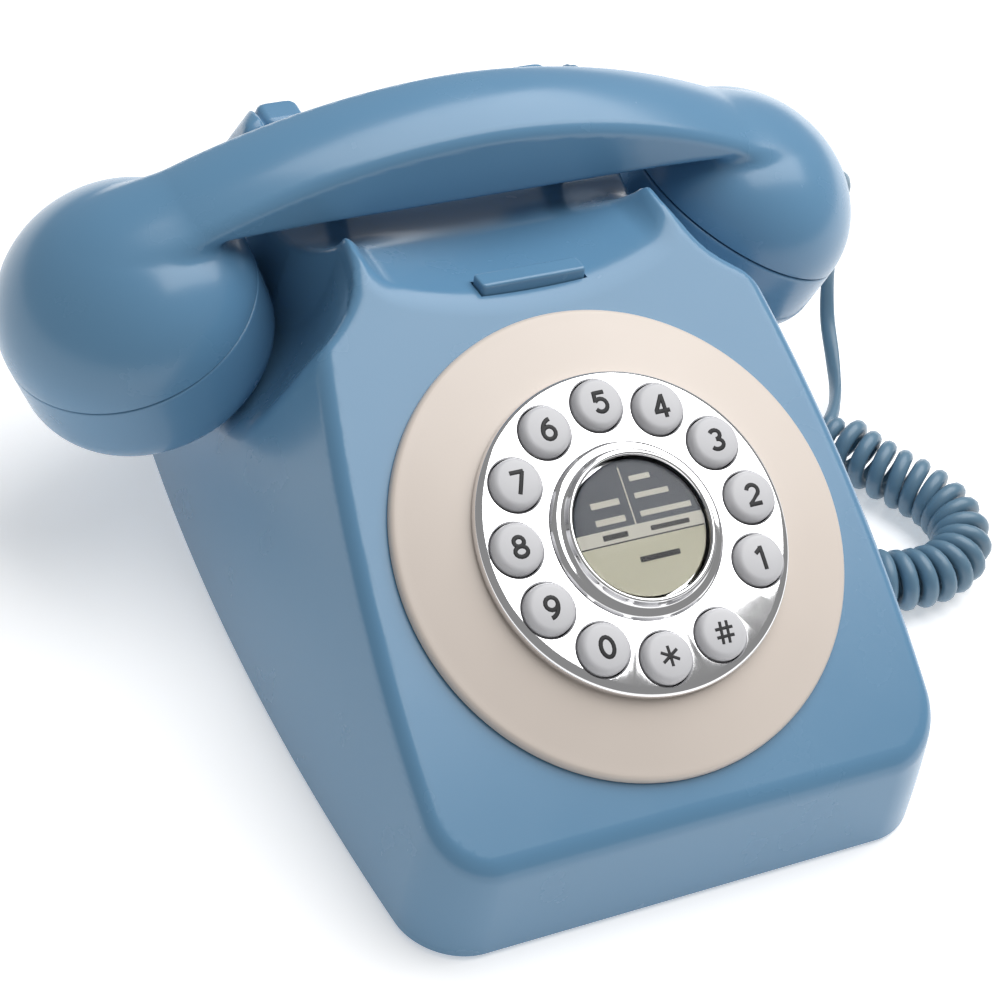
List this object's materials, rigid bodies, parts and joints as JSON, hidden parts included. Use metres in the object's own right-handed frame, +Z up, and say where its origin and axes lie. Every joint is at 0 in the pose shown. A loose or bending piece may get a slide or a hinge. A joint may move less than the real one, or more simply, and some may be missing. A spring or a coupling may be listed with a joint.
{
  "type": "desk telephone",
  "caption": "Wedge-shaped desk telephone in blue plastic with a round push-button dial, a handset resting across a horned cradle and a curly cord.",
  "frame": {"origin": "middle of the telephone's footprint, on the surface its feet rest on; the cord is left out of that footprint", "axes": "+Z up, +X to the right of someone facing the dial, along the handset, and +Y towards the rear sockets"},
  "size_m": [0.2492, 0.2296, 0.113],
  "materials": {
    "gloss_blue": "glossy",
    "satin_cream": "satin",
    "chrome": "polished",
    "key_grey": "satin",
    "label_card": "printed card",
    "clear_lens": "clear",
    "dark_plastic": "moulded",
    "rubber": "matt",
    "circuit_board": "lacquered",
    "plated_steel": "plated",
    "cord_blue": "satin"
  },
  "bodies": {
    "base": {"ballast_weight": "plated_steel", "base_lead": "cord_blue", "base_plate": "dark_plastic", "base_screw_1": "plated_steel", "base_screw_2": "plated_steel", "base_screw_3": "plated_steel", "base_screw_4": "plated_steel", "board_post_1": "dark_plastic", "board_post_2": "dark_plastic", "board_post_3": "dark_plastic", "board_post_4": "dark_plastic", "case_shell": "gloss_blue", "centre_bezel": "chrome", "cord_coil": "cord_blue", "cord_plug": "clear_lens", "dial_surround": "satin_cream", "foot_1": "rubber", "foot_2": "rubber", "foot_3": "rubber", "foot_4": "rubber", "handset_lead": "cord_blue", "handset_socket": "dark_plastic", "hook_switch": "dark_plastic", "key_mat": "rubber", "key_plate": "chrome", "keypad_board": "circuit_board", "line_socket": "dark_plastic", "main_board": "circuit_board", "ringer_sounder": "dark_plastic"},
    "handset": {"handset_shell": "gloss_blue", "ear_cap": "gloss_blue", "mouth_cap": "gloss_blue", "receiver_capsule": "dark_plastic", "microphone_capsule": "dark_plastic", "handset_weight": "plated_steel", "cord_gland": "cord_blue"},
    "hook": {"hook_plunger_left": "dark_plastic", "hook_plunger_right": "dark_plastic", "hook_yoke": "dark_plastic"},
    "pad_1": {"key_1": "key_grey"},
    "pad_2": {"key_2": "key_grey"},
    "pad_3": {"key_3": "key_grey"},
    "pad_4": {"key_4": "key_grey"},
    "pad_5": {"key_5": "key_grey"},
    "pad_6": {"key_6": "key_grey"},
    "pad_7": {"key_7": "key_grey"},
    "pad_8": {"key_8": "key_grey"},
    "pad_9": {"key_9": "key_grey"},
    "pad_0": {"key_0": "key_grey"},
    "pad_star": {"key_star": "key_grey"},
    "pad_hash": {"key_hash": "key_grey"},
    "redial": {"redial_button": "key_grey", "label_card": "label_card", "label_lens": "clear_lens"},
    "recall": {"recall_bar": "gloss_blue"},
    "ringer_control": {"ringer_switch": "dark_plastic"}
  },
  "joints": [
    {"name": "handset_lift", "type": "slide", "parent": "base", "child": "handset", "axis": [0, 0, 1], "range_m": [0, 0.09], "deforming": ["handset_lead"]},
    {"name": "hook_rise", "type": "slide", "parent": "base", "child": "hook", "axis": [0, 0, 1], "range_m": [0, 0.004]},
    {"name": "press_1", "type": "slide", "parent": "base", "child": "pad_1", "axis": [0, 0.454, -0.891], "range_m": [0, 0.0015], "stiffness_N_per_m": 150, "springref_m": -0.001},
    {"name": "press_2", "type": "slide", "parent": "base", "child": "pad_2", "axis": [0, 0.454, -0.891], "range_m": [0, 0.0015], "stiffness_N_per_m": 150, "springref_m": -0.001},
    {"name": "press_3", "type": "slide", "parent": "base", "child": "pad_3", "axis": [0, 0.454, -0.891], "range_m": [0, 0.0015], "stiffness_N_per_m": 150, "springref_m": -0.001},
    {"name": "press_4", "type": "slide", "parent": "base", "child": "pad_4", "axis": [0, 0.454, -0.891], "range_m": [0, 0.0015], "stiffness_N_per_m": 150, "springref_m": -0.001},
    {"name": "press_5", "type": "slide", "parent": "base", "child": "pad_5", "axis": [0, 0.454, -0.891], "range_m": [0, 0.0015], "stiffness_N_per_m": 150, "springref_m": -0.001},
    {"name": "press_6", "type": "slide", "parent": "base", "child": "pad_6", "axis": [0, 0.454, -0.891], "range_m": [0, 0.0015], "stiffness_N_per_m": 150, "springref_m": -0.001},
    {"name": "press_7", "type": "slide", "parent": "base", "child": "pad_7", "axis": [0, 0.454, -0.891], "range_m": [0, 0.0015], "stiffness_N_per_m": 150, "springref_m": -0.001},
    {"name": "press_8", "type": "slide", "parent": "base", "child": "pad_8", "axis": [0, 0.454, -0.891], "range_m": [0, 0.0015], "stiffness_N_per_m": 150, "springref_m": -0.001},
    {"name": "press_9", "type": "slide", "parent": "base", "child": "pad_9", "axis": [0, 0.454, -0.891], "range_m": [0, 0.0015], "stiffness_N_per_m": 150, "springref_m": -0.001},
    {"name": "press_0", "type": "slide", "parent": "base", "child": "pad_0", "axis": [0, 0.454, -0.891], "range_m": [0, 0.0015], "stiffness_N_per_m": 150, "springref_m": -0.001},
    {"name": "press_star", "type": "slide", "parent": "base", "child": "pad_star", "axis": [0, 0.454, -0.891], "range_m": [0, 0.0015], "stiffness_N_per_m": 150, "springref_m": -0.001},
    {"name": "press_hash", "type": "slide", "parent": "base", "child": "pad_hash", "axis": [0, 0.454, -0.891], "range_m": [0, 0.0015], "stiffness_N_per_m": 150, "springref_m": -0.001},
    {"name": "press_redial", "type": "slide", "parent": "base", "child": "redial", "axis": [0, 0.454, -0.891], "range_m": [0, 0.0012], "stiffness_N_per_m": 200, "springref_m": -0.001},
    {"name": "press_recall", "type": "slide", "parent": "base", "child": "recall", "axis": [0, -0.1736, -0.9848], "range_m": [0, 0.0015], "stiffness_N_per_m": 200, "springref_m": -0.001},
    {"name": "ringer_slide", "type": "slide", "parent": "base", "child": "ringer_control", "axis": [1, 0, 0], "range_m": [-0.0028, 0.0028]}
  ],
  "couplings": [
    {"joint": "hook_rise", "follows": "handset_lift", "ratio": 0.044444}
  ]
}
